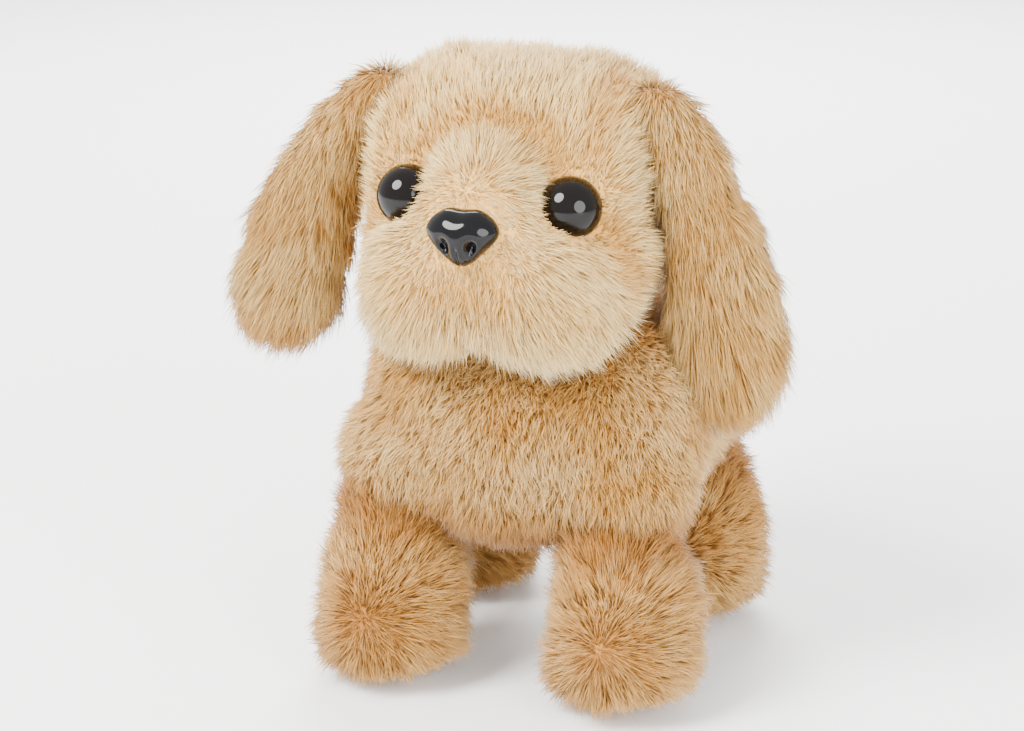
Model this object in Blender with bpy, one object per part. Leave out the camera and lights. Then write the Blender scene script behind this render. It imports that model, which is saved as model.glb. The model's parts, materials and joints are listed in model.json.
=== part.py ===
# Interactive plush puppy: a furry skin over a geared, battery-driven walking chassis.
# The puppy faces -Y, its left side is +X, and it stands on z = 0.
import math

import bmesh
import bpy
from mathutils import Matrix, Vector

# ---------------------------------------------------------------- driving dimensions, metres
GAP = 0.0003                 # clearance kept between touching pieces
HOLE_PLAY = 0.0002           # radial play of a pin in its hole

TORSO_MID_Y = -0.016         # middle of the torso and of the wheelbase
TORSO_HALF = Vector((0.040, 0.050, 0.0315))
TORSO_BOTTOM = 0.0405
TORSO_WALL_BOTTOM = 0.004
TORSO_ROUNDING = 0.020
CAVITY_HALF = Vector((0.0340, 0.0440, 0.01825))
CAVITY_ROUNDING = 0.010

WHEELBASE = 0.062
LEG_X = 0.0295               # centre of a leg
HIP_Z = 0.062                # axis of the hips and shoulders
ARM = 0.012                  # hip axis to link pin
LEG_BAR_INNER = 0.0256
LEG_BAR_OUTER = 0.0286
LEG_PLUSH_RINGS = (          # height, half width, half length
    (0.0, 0.0125, 0.0150), (0.0025, 0.0152, 0.0180), (0.009, 0.0160, 0.0192),
    (0.018, 0.0155, 0.0180), (0.028, 0.0148, 0.0160), (0.0335, 0.0136, 0.0142),
    (0.0365, 0.0105, 0.0110))
PAW_FORWARD = 0.002

HOUSING_HALF_X = 0.023
HOUSING_FRONT = -0.053
HOUSING_REAR = 0.021
HOUSING_BOTTOM = 0.047
HOUSING_TOP = 0.0795
HOUSING_WALL = 0.0014

CELL_RADIUS = 0.00525        # AAA cell
CELL_LENGTH = 0.0430
CELL_Z = 0.0540
BOX_HALF_X = 0.0124
BOX_FRONT = -0.0463
BOX_REAR = 0.0040
BOX_TOP = 0.0606
BOX_WALL = 0.0012
CELL_FRONT = -0.0418
CELL_CAP = 0.0010            # height of the raised positive end
CELL_CAP_RADIUS = 0.0019
DOOR_HALF_X = 0.0122
DOOR_LOW = 0.0451
DOOR_HIGH = 0.0466
DOOR_LIP_FRONT = 0.0007      # how far the door passes the box at its front end
DOOR_LIP_REAR = 0.0010
DOOR_SLIDE = 0.0060          # its travel towards the front
DOOR_SCREW_Y = -0.0010
DOOR_SCREW_RADIUS = 0.0009
DOOR_SCREW_HEAD = 0.0020
FLAP_HALF_X = 0.0130
FLAP_FRONT = -0.0300
FLAP_REAR = 0.0140
FLAP_THICKNESS = 0.0030
OPENING_GAP = 0.0004         # room around the belly flap

HOUSING_SCREWS = (           # distance from the middle and height
    (-0.0495, 0.0508), (-0.0495, 0.0755), (0.0172, 0.0508), (0.0172, 0.0670))
SCREW_RADIUS = 0.0010
SCREW_HEAD = 0.0024
SCREW_BOSS = 0.0028
SCREW_CROSS = 0.0020         # half length of the cross recess
CROSS_HALF_WIDTH = 0.0004
HIP_SCREW_RADIUS = 0.0016
HIP_SCREW_HEAD = 0.0034
HIP_BOSS = 0.0038
BAR_SWING = 0.0108           # half length of the slot a leg bar swings in
BAR_HEAD = 0.0032            # radius of a leg bar's round head
BAR_SHANK = 0.0042           # half length of its shank, front to back
LINK_PIN_RADIUS = 0.0012
LINK_INNER = 0.0290
LINK_OUTER = 0.0307
LINK_HALF_HEIGHT = 0.0026
LINK_RING = (0.0098, 0.0072)     # half length and half height of the ring round the crank
LINK_WINDOW = (0.0078, 0.0052)   # and of the window in it
SHAFT_RADIUS = 0.0015
AXLE_RADIUS = 0.0007
MOTOR_SHAFT_RADIUS = 0.0008
MOTOR_LEFT = -0.0160         # end of the can that takes the cap
MOTOR_LENGTH = 0.0230
MOTOR_RADIUS = 0.0082
WHEEL_WIDTH = 0.0020
DISC_RADIUS = 0.0052

GEAR_MODULE = 0.0005
WHEEL_TEETH = 32
PINION_TEETH = 8
GEAR_Z = 0.0696
MOTOR_Y = -0.038
STAGE = GEAR_MODULE * (WHEEL_TEETH + PINION_TEETH) / 2
CRANK_Y = MOTOR_Y + 3 * STAGE
CRANK_RADIUS = 0.0032
CRANK_PIN_RADIUS = 0.0012

HEAD_CENTRE = Vector((0.0, -0.033, 0.121))
HEAD_RADII = Vector((0.035, 0.033, 0.037))
CHEEK_CENTRE = Vector((0.0, -0.054, 0.104))
CHEEK_RADII = Vector((0.033, 0.020, 0.0195))
SNOUT_CENTRE = Vector((0.0, -0.060, 0.116))
SNOUT_RADII = Vector((0.015, 0.0165, 0.019))
HEAD_CAVITY_RADII = Vector((0.0245, 0.0210, 0.0270))
SKULL_CENTRE = Vector((0.0, -0.0345, 0.121))
SKULL_RADII = Vector((0.0205, 0.0155, 0.0225))
NOD_Y = -0.036
NOD_Z = 0.106
HEAD_CLEARANCE = 0.0038      # room between head and torso for the nod

EYE_CENTRE = Vector((0.0195, -0.0585, 0.1225))
EYE_AXIS = Vector((0.40, -0.91, 0.08)).normalized()
EYE_RADIUS = 0.0068
NOSE_CENTRE = Vector((0.0, -0.0755, 0.1185))
NOSE_RADII = Vector((0.0087, 0.0055, 0.0066))

EAR_HINGE = Vector((0.0335, -0.036, 0.1470))
EAR_RINGS = (                # height, centre out from the middle, half width, half thickness
    (0.1520, 0.0335, 0.0030, 0.0025), (0.1490, 0.0345, 0.0060, 0.0048),
    (0.1400, 0.0410, 0.0092, 0.0062), (0.1250, 0.0482, 0.0118, 0.0068),
    (0.1100, 0.0530, 0.0142, 0.0070), (0.0950, 0.0550, 0.0152, 0.0070),
    (0.0820, 0.0548, 0.0140, 0.0066), (0.0740, 0.0540, 0.0105, 0.0056),
    (0.0700, 0.0535, 0.0060, 0.0036))

TAIL_PIVOT = Vector((0.0, 0.0245, 0.0750))
TAIL_RINGS = (               # distance behind the middle, height, radius
    (0.0410, 0.0880, 0.0045), (0.0440, 0.0905, 0.0072), (0.0520, 0.0970, 0.0088),
    (0.0610, 0.1050, 0.0092), (0.0690, 0.1140, 0.0084), (0.0740, 0.1225, 0.0068),
    (0.0765, 0.1290, 0.0045), (0.0775, 0.1325, 0.0020))

FRONT_HIP_Y = TORSO_MID_Y - WHEELBASE / 2
REAR_HIP_Y = TORSO_MID_Y + WHEELBASE / 2
SIDES = {"left": 1.0, "right": -1.0}
ENDS = {"front": FRONT_HIP_Y, "rear": REAR_HIP_Y}

FINISHES = {                 # colour, roughness, metallic
    "plush": ((0.78, 0.58, 0.35), 0.95, 0.0),
    "plush_ear": ((0.66, 0.45, 0.24), 0.95, 0.0),
    "housing_plastic": ((0.82, 0.82, 0.78), 0.45, 0.0),
    "frame_plastic": ((0.30, 0.45, 0.62), 0.40, 0.0),
    "gear_plastic": ((0.92, 0.90, 0.82), 0.35, 0.0),
    "black_plastic": ((0.01, 0.01, 0.012), 0.08, 0.0),
    "steel": ((0.60, 0.60, 0.58), 0.28, 1.0),
    "cell_sleeve": ((0.12, 0.13, 0.14), 0.35, 0.0),
    "board_green": ((0.04, 0.22, 0.10), 0.45, 0.0),
    "switch_red": ((0.60, 0.05, 0.04), 0.40, 0.0),
}


# ---------------------------------------------------------------- shape helpers
def clear_scene():
    for obj in list(bpy.data.objects):
        bpy.data.objects.remove(obj, do_unlink=True)


def finish_material(name):
    existing = bpy.data.materials.get(name)
    if existing:
        return existing
    color, roughness, metallic = FINISHES[name]
    mat = bpy.data.materials.new(name)
    mat.use_nodes = True
    shader = mat.node_tree.nodes["Principled BSDF"]
    shader.inputs["Base Color"].default_value = (*color, 1.0)
    shader.inputs["Roughness"].default_value = roughness
    shader.inputs["Metallic"].default_value = metallic
    return mat


def to_object(name, bm, origin=(0.0, 0.0, 0.0)):
    """Turn a bmesh modelled in place into an object whose origin is at the given point."""
    origin = Vector(origin)
    bmesh.ops.translate(bm, verts=bm.verts, vec=-origin)
    bmesh.ops.recalc_face_normals(bm, faces=bm.faces)
    mesh = bpy.data.meshes.new(name)
    bm.to_mesh(mesh)
    bm.free()
    obj = bpy.data.objects.new(name, mesh)
    obj.location = origin
    bpy.context.scene.collection.objects.link(obj)
    return obj


def add_piece(name, bm, finish, origin=(0.0, 0.0, 0.0), smooth=True):
    piece = to_object(name, bm, origin)
    piece.data.materials.append(finish_material(finish))
    if smooth:
        piece.data.shade_smooth()
        piece.data.set_sharp_from_angle(angle=math.radians(35))
    return piece


def combine(piece, bm, operation="DIFFERENCE"):
    """Cut a shape out of a piece, or fuse it on, with a live Boolean."""
    tool = to_object(piece.name + "_tool", bm)
    tool.hide_render = True
    tool.display_type = "WIRE"
    modifier = piece.modifiers.new(operation.title(), "BOOLEAN")
    modifier.operation = operation
    modifier.object = tool
    modifier.solver = "EXACT"
    return piece


def box(low, high, rounding=0.0, segments=3):
    low = Vector(low)
    high = Vector(high)
    size = Matrix.Diagonal((*(high - low), 1.0))
    bm = bmesh.new()
    bmesh.ops.create_cube(bm, size=1.0, matrix=Matrix.Translation((low + high) / 2) @ size)
    if rounding:
        bmesh.ops.bevel(bm, geom=bm.edges[:], offset=rounding, offset_type="OFFSET",
                        segments=segments, profile=0.5, affect="EDGES", clamp_overlap=True)
    return bm


def rod(start, end, radius, sides=12, end_radius=None):
    """A round bar, or a cone, between two points."""
    start = Vector(start)
    end = Vector(end)
    turn = (end - start).to_track_quat("Z", "Y").to_matrix().to_4x4()
    far_radius = radius if end_radius is None else end_radius
    bm = bmesh.new()
    bmesh.ops.create_cone(bm, cap_ends=True, segments=sides, radius1=radius,
                          radius2=far_radius, depth=(end - start).length,
                          matrix=Matrix.Translation((start + end) / 2) @ turn)
    return bm


def ellipsoid(centre, radii, around=24, rings=14):
    bm = bmesh.new()
    place = Matrix.Translation(centre) @ Matrix.Diagonal((*radii, 1.0))
    bmesh.ops.create_uvsphere(bm, u_segments=around, v_segments=rings, radius=1.0,
                              matrix=place)
    return bm


def extruded(points, direction):
    """Extrude a closed outline of 3D points along a vector."""
    bm = bmesh.new()
    base = bm.faces.new([bm.verts.new(point) for point in points])
    result = bmesh.ops.extrude_face_region(bm, geom=[base])
    moved = [item for item in result["geom"] if isinstance(item, bmesh.types.BMVert)]
    bmesh.ops.translate(bm, verts=moved, vec=direction)
    return bm


def lofted(rings, sides=18):
    """Skin a stack of oval rings, each given as (centre, half width, half depth, tilt)."""
    bm = bmesh.new()
    previous = None
    for centre, half_width, half_depth, tilt in rings:
        place = (Matrix.Translation(centre) @ Matrix.Rotation(tilt, 4, "X")
                 @ Matrix.Diagonal((half_width, half_depth, 1.0, 1.0)))
        made = bmesh.ops.create_circle(bm, cap_ends=False, segments=sides, radius=1.0,
                                       matrix=place)
        loop = made["verts"]
        edges = [edge for edge in bm.edges if edge.verts[0] in loop and edge.verts[1] in loop]
        if previous is None:
            bm.faces.new(loop)
        else:
            bmesh.ops.bridge_loops(bm, edges=previous + edges)
        previous = edges
        last = loop
    bm.faces.new(last)
    return bm


def grown(radii, amount):
    return Vector([radius + amount for radius in radii])


# ---------------------------------------------------------------- chassis housing
def make_housing(name, side):
    """One moulded half of the gearbox and battery housing, parted on x = 0."""
    seam = side * GAP / 2
    wall_x = side * HOUSING_HALF_X
    low_x, high_x = sorted((seam, wall_x))
    shell = box((low_x, HOUSING_FRONT, HOUSING_BOTTOM), (high_x, HOUSING_REAR, HOUSING_TOP))
    piece = add_piece(name, shell, "housing_plastic", smooth=False)
    inner_x = wall_x - side * HOUSING_WALL
    low_x, high_x = sorted((-side * 0.002, inner_x))
    combine(piece, box((low_x, HOUSING_FRONT + HOUSING_WALL, HOUSING_BOTTOM + HOUSING_WALL),
                       (high_x, HOUSING_REAR - HOUSING_WALL, HOUSING_TOP - HOUSING_WALL)))
    for y, z in HOUSING_SCREWS:
        combine(piece, rod((seam, y, z), (wall_x - side * 0.0004, y, z), SCREW_BOSS), "UNION")
    for y in ENDS.values():
        combine(piece, rod((inner_x - side * 0.003, y, HIP_Z), (side * 0.0253, y, HIP_Z),
                           HIP_BOSS), "UNION")
        combine(piece, rod((inner_x - side * 0.004, y, HIP_Z), (side * 0.026, y, HIP_Z),
                           HIP_SCREW_RADIUS + HOLE_PLAY))
    for low_z, high_z in ((0.0700, 0.0718), (0.0782, 0.0800)):
        low_x, high_x = sorted((seam, side * 0.0055))
        combine(piece, box((low_x, HOUSING_REAR - 0.0005, low_z),
                           (high_x, TAIL_PIVOT.y + 0.0042, high_z)), "UNION")
    combine(piece, rod((0.0, TAIL_PIVOT.y, 0.068), (0.0, TAIL_PIVOT.y, 0.081),
                       0.0012 + HOLE_PLAY))
    for y, z in HOUSING_SCREWS:
        combine(piece, rod((-0.030, y, z), (0.030, y, z), SCREW_RADIUS + HOLE_PLAY, 12))
    if side > 0:
        for y, z in HOUSING_SCREWS:
            combine(piece, rod((0.0205, y, z), (0.030, y, z), SCREW_HEAD + HOLE_PLAY))
    combine(piece, rod((-0.030, CRANK_Y, GEAR_Z), (0.030, CRANK_Y, GEAR_Z),
                       SHAFT_RADIUS + HOLE_PLAY))
    combine(piece, box((-BOX_HALF_X - GAP, BOX_FRONT - GAP, 0.045),
                       (BOX_HALF_X + GAP, BOX_REAR + GAP, 0.050)))
    combine(piece, box((-0.0018, 0.0070, 0.045), (0.0018, 0.0132, 0.050)))
    for slot in range(3):
        x = side * (0.0025 + 0.0035 * slot)
        combine(piece, box((x - 0.0006, 0.0045, 0.077), (x + 0.0006, 0.0145, 0.081)))
    return piece


def make_housing_screw(name, y, z):
    screw = add_piece(name, rod((-0.018, y, z), (0.0209, y, z), SCREW_RADIUS, 12), "steel")
    combine(screw, rod((0.0208, y, z), (0.0226, y, z), SCREW_HEAD), "UNION")
    for half_y, half_z in ((SCREW_CROSS, CROSS_HALF_WIDTH), (CROSS_HALF_WIDTH, SCREW_CROSS)):
        combine(screw, box((0.0218, y - half_y, z - half_z), (0.024, y + half_y, z + half_z)))
    return screw


def make_battery_box():
    outer = box((-BOX_HALF_X, BOX_FRONT, HOUSING_BOTTOM), (BOX_HALF_X, BOX_REAR, BOX_TOP))
    piece = add_piece("battery_box", outer, "frame_plastic", smooth=False)
    combine(piece, box((-BOX_HALF_X + BOX_WALL, BOX_FRONT + BOX_WALL, HOUSING_BOTTOM - 0.001),
                       (BOX_HALF_X - BOX_WALL, BOX_REAR - BOX_WALL, BOX_TOP - BOX_WALL)))
    return piece


def make_battery(name, x, plus_forward):
    """An AAA cell with its raised positive cap."""
    rear = CELL_FRONT + CELL_LENGTH
    piece = add_piece(name, rod((x, CELL_FRONT, CELL_Z), (x, rear, CELL_Z), CELL_RADIUS - 0.0002, 24),
                      "cell_sleeve")
    outward = -1.0 if plus_forward else 1.0
    cap_start = CELL_FRONT if plus_forward else rear
    cap_root = cap_start - outward * 0.0002
    cap_end = cap_start + outward * CELL_CAP
    combine(piece, rod((x, cap_root, CELL_Z), (x, cap_end, CELL_Z), CELL_CAP_RADIUS), "UNION")
    return piece


def make_contact_spring(name, x, y_start, y_end):
    """A conical coil that presses on a cell's flat end."""
    turns = 3.0
    wire = 0.00022
    curve = bpy.data.curves.new(name, "CURVE")
    curve.dimensions = "3D"
    curve.bevel_depth = wire
    curve.bevel_resolution = 1
    curve.use_fill_caps = True
    points = 25
    spline = curve.splines.new("POLY")
    spline.points.add(points - 1)
    for index in range(points):
        share = index / (points - 1)
        angle = 2 * math.pi * turns * share
        radius = 0.0038 - 0.0018 * share
        spline.points[index].co = (x + radius * math.cos(angle),
                                   y_start + (y_end - y_start) * share,
                                   CELL_Z + radius * math.sin(angle), 1.0)
    piece = bpy.data.objects.new(name, curve)
    bpy.context.scene.collection.objects.link(piece)
    curve.materials.append(finish_material("steel"))
    return piece


def make_contact_plate(name, y):
    plate = box((-0.0100, y, 0.0500), (0.0100, y + 0.0004, 0.0580))
    return add_piece(name, plate, "steel", smooth=False)


def make_battery_door():
    door = box((-DOOR_HALF_X, BOX_FRONT - DOOR_LIP_FRONT, DOOR_LOW),
               (DOOR_HALF_X, BOX_REAR + DOOR_LIP_REAR, DOOR_HIGH), 0.0004, 1)
    piece = add_piece("battery_door", door, "frame_plastic", (0.0, BOX_REAR, 0.0458), False)
    for rib in range(3):
        y = -0.0400 + 0.0025 * rib
        combine(piece, box((-0.0050, y, 0.0446), (0.0050, y + 0.0010, 0.0454)), "UNION")
    combine(piece, rod((0.0, DOOR_SCREW_Y, 0.0440), (0.0, DOOR_SCREW_Y, 0.0480),
                       DOOR_SCREW_RADIUS + HOLE_PLAY, 12))
    return piece


def make_battery_door_screw():
    screw = add_piece("battery_door_screw",
                      rod((0.0, DOOR_SCREW_Y, 0.0447), (0.0, DOOR_SCREW_Y, 0.0468),
                          DOOR_SCREW_RADIUS, 12), "steel", (0.0, DOOR_SCREW_Y, 0.0450))
    combine(screw, rod((0.0, DOOR_SCREW_Y, 0.0439), (0.0, DOOR_SCREW_Y, 0.0448),
                       DOOR_SCREW_HEAD), "UNION")
    return screw


def make_switch():
    body = add_piece("switch_body", box((-0.0045, 0.0060, 0.0488), (0.0045, 0.0142, 0.0530)),
                     "black_plastic", smooth=False)
    combine(body, box((-0.0017, 0.0068, 0.0480), (0.0017, 0.0134, 0.0507)))
    knob = box((-0.0013, 0.0073, 0.0449), (0.0013, 0.0099, 0.0503), 0.0003, 1)
    add_piece("switch_knob", knob, "switch_red", (0.0, 0.0086, 0.0476), False)


# ---------------------------------------------------------------- motor and gear train
def make_motor():
    """A small flat-sided motor lying across the puppy, its shaft to the left."""
    outline = []
    for step in range(24):
        angle = 2 * math.pi * step / 24
        z = max(-0.0075, min(0.0075, 0.0100 * math.sin(angle)))
        outline.append(Vector((MOTOR_LEFT, MOTOR_Y + MOTOR_RADIUS * math.cos(angle),
                               GEAR_Z + z + 0.0004)))
    can = add_piece("motor_can", extruded(outline, (MOTOR_LENGTH, 0.0, 0.0)), "steel")
    combine(can, rod((0.0069, MOTOR_Y, GEAR_Z), (0.0085, MOTOR_Y, GEAR_Z), 0.0030), "UNION")
    combine(can, rod((0.0040, MOTOR_Y, GEAR_Z), (0.0095, MOTOR_Y, GEAR_Z),
                     MOTOR_SHAFT_RADIUS + HOLE_PLAY, 12))
    centre = Vector((MOTOR_LEFT, MOTOR_Y, GEAR_Z + 0.0004))
    cap = [centre + (point - centre) * 0.92 + Vector((-GAP, 0.0, 0.0)) for point in outline]
    add_piece("motor_endcap", extruded(cap, (-0.0024, 0.0, 0.0)), "black_plastic")


def gear_bm(teeth, axis_y, low_x, high_x, turn=0.0):
    """A spur gear about an axis along X, with plain straight-sided teeth."""
    pitch_radius = GEAR_MODULE * teeth / 2
    root = pitch_radius - 1.15 * GEAR_MODULE
    tip = pitch_radius + 0.75 * GEAR_MODULE
    pitch = 2 * math.pi / teeth
    points = []
    for tooth in range(teeth):
        middle = turn + tooth * pitch
        for radius, share in ((root, -0.26), (tip, -0.10), (tip, 0.10), (root, 0.26)):
            angle = middle + share * pitch
            points.append(Vector((low_x, axis_y + radius * math.cos(angle),
                                  GEAR_Z + radius * math.sin(angle))))
    return extruded(points, (high_x - low_x, 0.0, 0.0))


def make_compound_gear(name, axis_y, wheel_x, pinion_x, bore):
    half_pitch = math.pi / WHEEL_TEETH
    origin = (0.0, axis_y, GEAR_Z)
    gear = add_piece(name, gear_bm(WHEEL_TEETH, axis_y, wheel_x, wheel_x + WHEEL_WIDTH,
                                   half_pitch),
                     "gear_plastic", origin, False)
    combine(gear, gear_bm(PINION_TEETH, axis_y, pinion_x, wheel_x + 0.0005), "UNION")
    combine(gear, rod((pinion_x - 0.001, axis_y, GEAR_Z), (wheel_x + 0.004, axis_y, GEAR_Z),
                      bore + HOLE_PLAY, 12))
    return gear


def make_gear_train():
    pinion = add_piece("motor_pinion", gear_bm(PINION_TEETH, MOTOR_Y, 0.0145, 0.0185),
                       "gear_plastic", (0.0, MOTOR_Y, GEAR_Z), False)
    combine(pinion, rod((0.0050, MOTOR_Y, GEAR_Z), (0.0148, MOTOR_Y, GEAR_Z),
                        MOTOR_SHAFT_RADIUS, 12), "UNION")
    first_y = MOTOR_Y + STAGE
    second_y = MOTOR_Y + 2 * STAGE
    make_compound_gear("compound_gear_1", first_y, 0.0155, 0.0100, AXLE_RADIUS)
    make_compound_gear("compound_gear_2", second_y, 0.0110, 0.0055, AXLE_RADIUS)
    axle_end = HOUSING_HALF_X - HOUSING_WALL - GAP
    add_piece("gear_axle_1", rod((0.0094, first_y, GEAR_Z), (axle_end, first_y, GEAR_Z),
                                 AXLE_RADIUS, 12), "steel")
    add_piece("gear_axle_2", rod((-axle_end, second_y, GEAR_Z), (axle_end, second_y, GEAR_Z),
                                 AXLE_RADIUS, 12), "steel")
    origin = (0.0, CRANK_Y, GEAR_Z)
    crank_gear = add_piece("crank_gear", gear_bm(WHEEL_TEETH, CRANK_Y, 0.0065, 0.0085,
                                                 math.pi / WHEEL_TEETH),
                           "gear_plastic", origin, False)
    combine(crank_gear, rod((0.0025, CRANK_Y, GEAR_Z), (0.0067, CRANK_Y, GEAR_Z), 0.0030),
            "UNION")
    combine(crank_gear, rod((0.0015, CRANK_Y, GEAR_Z), (0.0095, CRANK_Y, GEAR_Z),
                            SHAFT_RADIUS + HOLE_PLAY))
    add_piece("crank_shaft", rod((-0.0248, CRANK_Y, GEAR_Z), (0.0248, CRANK_Y, GEAR_Z),
                                 SHAFT_RADIUS), "steel", origin)
    for word, side in SIDES.items():
        make_crank_disc("crank_disc_" + word, side)


def make_crank_disc(name, side):
    """A disc on the crank shaft's end, with an off-centre pin, half a turn from its twin."""
    face = side * 0.0234
    disc = add_piece(name, rod((face, CRANK_Y, GEAR_Z), (side * 0.0251, CRANK_Y, GEAR_Z),
                               DISC_RADIUS, 16), "frame_plastic", (0.0, CRANK_Y, GEAR_Z))
    combine(disc, rod((side * 0.0230, CRANK_Y, GEAR_Z), (side * 0.0255, CRANK_Y, GEAR_Z),
                      SHAFT_RADIUS + HOLE_PLAY))
    pin_z = GEAR_Z + side * CRANK_RADIUS
    combine(disc, rod((side * 0.0245, CRANK_Y, pin_z), (side * 0.0314, CRANK_Y, pin_z),
                      CRANK_PIN_RADIUS, 12), "UNION")
    return disc


# ---------------------------------------------------------------- electronics
def make_circuit_board():
    """The sound and motor driver board with its chip and two capacitors."""
    z = 0.0622
    board = add_piece("circuit_board", box((-0.0170, 0.0048, z), (0.0170, 0.0192, z + 0.0012)),
                      "board_green", smooth=False)
    top = z + 0.0010
    combine(board, box((-0.0040, 0.0062, top), (0.0040, 0.0122, z + 0.0024)), "UNION")
    for x in (-0.0105, 0.0105):
        combine(board, rod((x, 0.0090, top), (x, 0.0090, z + 0.0062), 0.0022), "UNION")
    return board


def make_speaker():
    """A small round speaker that faces up under the housing's slots."""
    y = 0.0100
    speaker = add_piece("speaker", rod((0.0, y, 0.0745), (0.0, y, 0.0776), 0.0085, 24),
                        "black_plastic")
    combine(speaker, rod((0.0, y, 0.0702), (0.0, y, 0.0747), 0.0055, 20), "UNION")
    combine(speaker, rod((0.0, y, 0.0762), (0.0, y, 0.0790), 0.0040, 20, 0.0092))
    return speaker


# ---------------------------------------------------------------- legs and links
def leg_bar_outline(x, y):
    """Side outline of a leg bar: round head over a straight shank."""
    points = []
    for step in range(9):
        angle = math.pi * step / 8
        points.append(Vector((x, y + BAR_HEAD * math.cos(angle), HIP_Z + ARM
                              + BAR_HEAD * math.sin(angle))))
    points.append(Vector((x, y - BAR_SHANK, HIP_Z)))
    points.append(Vector((x, y - BAR_SHANK, 0.0050)))
    points.append(Vector((x, y + BAR_SHANK, 0.0050)))
    points.append(Vector((x, y + BAR_SHANK, HIP_Z)))
    return points


def make_leg(end, y, word, side):
    hip = (side * LEG_X, y, HIP_Z)
    thickness = side * (LEG_BAR_OUTER - LEG_BAR_INNER)
    bar = add_piece("leg_bar_%s_%s" % (end, word),
                    extruded(leg_bar_outline(side * LEG_BAR_INNER, y), (thickness, 0.0, 0.0)),
                    "frame_plastic", hip, False)
    low_x, high_x = sorted((side * 0.0215, side * 0.0375))
    foot_low = (low_x, y - 0.0110 - PAW_FORWARD, 0.0040)
    foot_high = (high_x, y + 0.0110 - PAW_FORWARD, 0.0065)
    combine(bar, box(foot_low, foot_high, 0.0008, 1), "UNION")
    combine(bar, rod((side * 0.0240, y, HIP_Z), (side * 0.0300, y, HIP_Z),
                     HIP_SCREW_RADIUS + HOLE_PLAY))
    pin_z = HIP_Z + ARM
    combine(bar, rod((side * 0.0280, y, pin_z), (side * 0.0314, y, pin_z), LINK_PIN_RADIUS, 12),
            "UNION")
    make_leg_plush(end, y, word, side, foot_low, foot_high)
    make_leg_screw("leg_screw_%s_%s" % (end, word), y, side)


def make_leg_plush(end, y, word, side, foot_low, foot_high):
    """A stuffed leg and paw, open at the top for the plastic bar inside it."""
    rings = []
    for height, half_width, half_length in LEG_PLUSH_RINGS:
        forward = PAW_FORWARD * max(0.0, 1.0 - height / 0.030)
        rings.append((Vector((side * LEG_X, y - forward, height)), half_width, half_length, 0.0))
    plush = add_piece("leg_plush_%s_%s" % (end, word), lofted(rings), "plush",
                      (side * LEG_X, y, HIP_Z))
    margin = Vector((GAP, GAP, GAP))
    combine(plush, box(Vector(foot_low) - margin, Vector(foot_high) + margin))
    low_x, high_x = sorted((side * (LEG_BAR_INNER - GAP), side * (LEG_BAR_OUTER + GAP)))
    combine(plush, box((low_x, y - 0.0053, 0.0045), (high_x, y + 0.0053, 0.0400)))


def make_leg_screw(name, y, side):
    screw = add_piece(name, rod((side * 0.0190, y, HIP_Z), (side * 0.0291, y, HIP_Z),
                                HIP_SCREW_RADIUS), "steel")
    combine(screw, rod((side * 0.0289, y, HIP_Z), (side * 0.0304, y, HIP_Z), HIP_SCREW_HEAD, 20),
            "UNION")
    return screw


def make_link(word, side):
    """The flat bar that makes the rear leg follow the front leg on one side."""
    z = HIP_Z + ARM
    low_x, high_x = sorted((side * LINK_INNER, side * LINK_OUTER))
    bar = box((low_x, FRONT_HIP_Y - 0.0035, z - LINK_HALF_HEIGHT),
              (high_x, REAR_HIP_Y + 0.0035, z + LINK_HALF_HEIGHT))
    link = add_piece("link_" + word, bar, "frame_plastic",
                     (side * 0.0298, FRONT_HIP_Y, z), False)
    ring_y, ring_z = LINK_RING
    combine(link, box((low_x, CRANK_Y - ring_y, GEAR_Z - ring_z),
                      (high_x, CRANK_Y + ring_y, GEAR_Z + ring_z + 0.0006)), "UNION")
    window_y, window_z = LINK_WINDOW
    combine(link, box((low_x - 0.001, CRANK_Y - window_y, GEAR_Z - window_z),
                      (high_x + 0.001, CRANK_Y + window_y, GEAR_Z + window_z + 0.0004)))
    combine(link, rod((side * 0.028, FRONT_HIP_Y, z), (side * 0.032, FRONT_HIP_Y, z),
                      LINK_PIN_RADIUS + HOLE_PLAY, 12))
    combine(link, rod((side * 0.028, REAR_HIP_Y, z), (side * 0.032, REAR_HIP_Y, z),
                      LINK_PIN_RADIUS + 2 * HOLE_PLAY, 12))
    return link


# ---------------------------------------------------------------- head
def make_neck_post():
    front = NOD_Y - 0.0045
    z = HOUSING_TOP + GAP
    outline = [(-0.0080, z), (0.0080, z), (0.0080, z + 0.0015), (0.0040, z + 0.0015),
               (0.0040, NOD_Z + 0.0050), (-0.0040, NOD_Z + 0.0050), (-0.0040, z + 0.0015),
               (-0.0080, z + 0.0015)]
    post = add_piece("neck_post", extruded([Vector((x, front, height)) for x, height in outline],
                                           (0.0, 0.0090, 0.0)), "frame_plastic", smooth=False)
    combine(post, rod((-0.010, NOD_Y, NOD_Z), (0.010, NOD_Y, NOD_Z), 0.0014 + HOLE_PLAY, 12))
    add_piece("neck_pin", rod((-0.0178, NOD_Y, NOD_Z), (0.0178, NOD_Y, NOD_Z), 0.0014, 12),
              "steel")


def make_skull():
    """A hollow plastic head core, open below, that rocks on the neck pin."""
    nod = (0.0, NOD_Y, NOD_Z)
    skull = add_piece("head_skull", ellipsoid(SKULL_CENTRE, SKULL_RADII, 20, 12),
                      "housing_plastic", nod)
    combine(skull, ellipsoid(SKULL_CENTRE, grown(SKULL_RADII, -0.0020), 20, 12))
    combine(skull, box((-0.0100, NOD_Y - 0.0095, 0.090), (0.0100, NOD_Y + 0.0095, 0.1085)))
    combine(skull, rod((-0.025, NOD_Y, NOD_Z), (0.025, NOD_Y, NOD_Z), 0.0014 + HOLE_PLAY, 12))
    return skull


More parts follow.
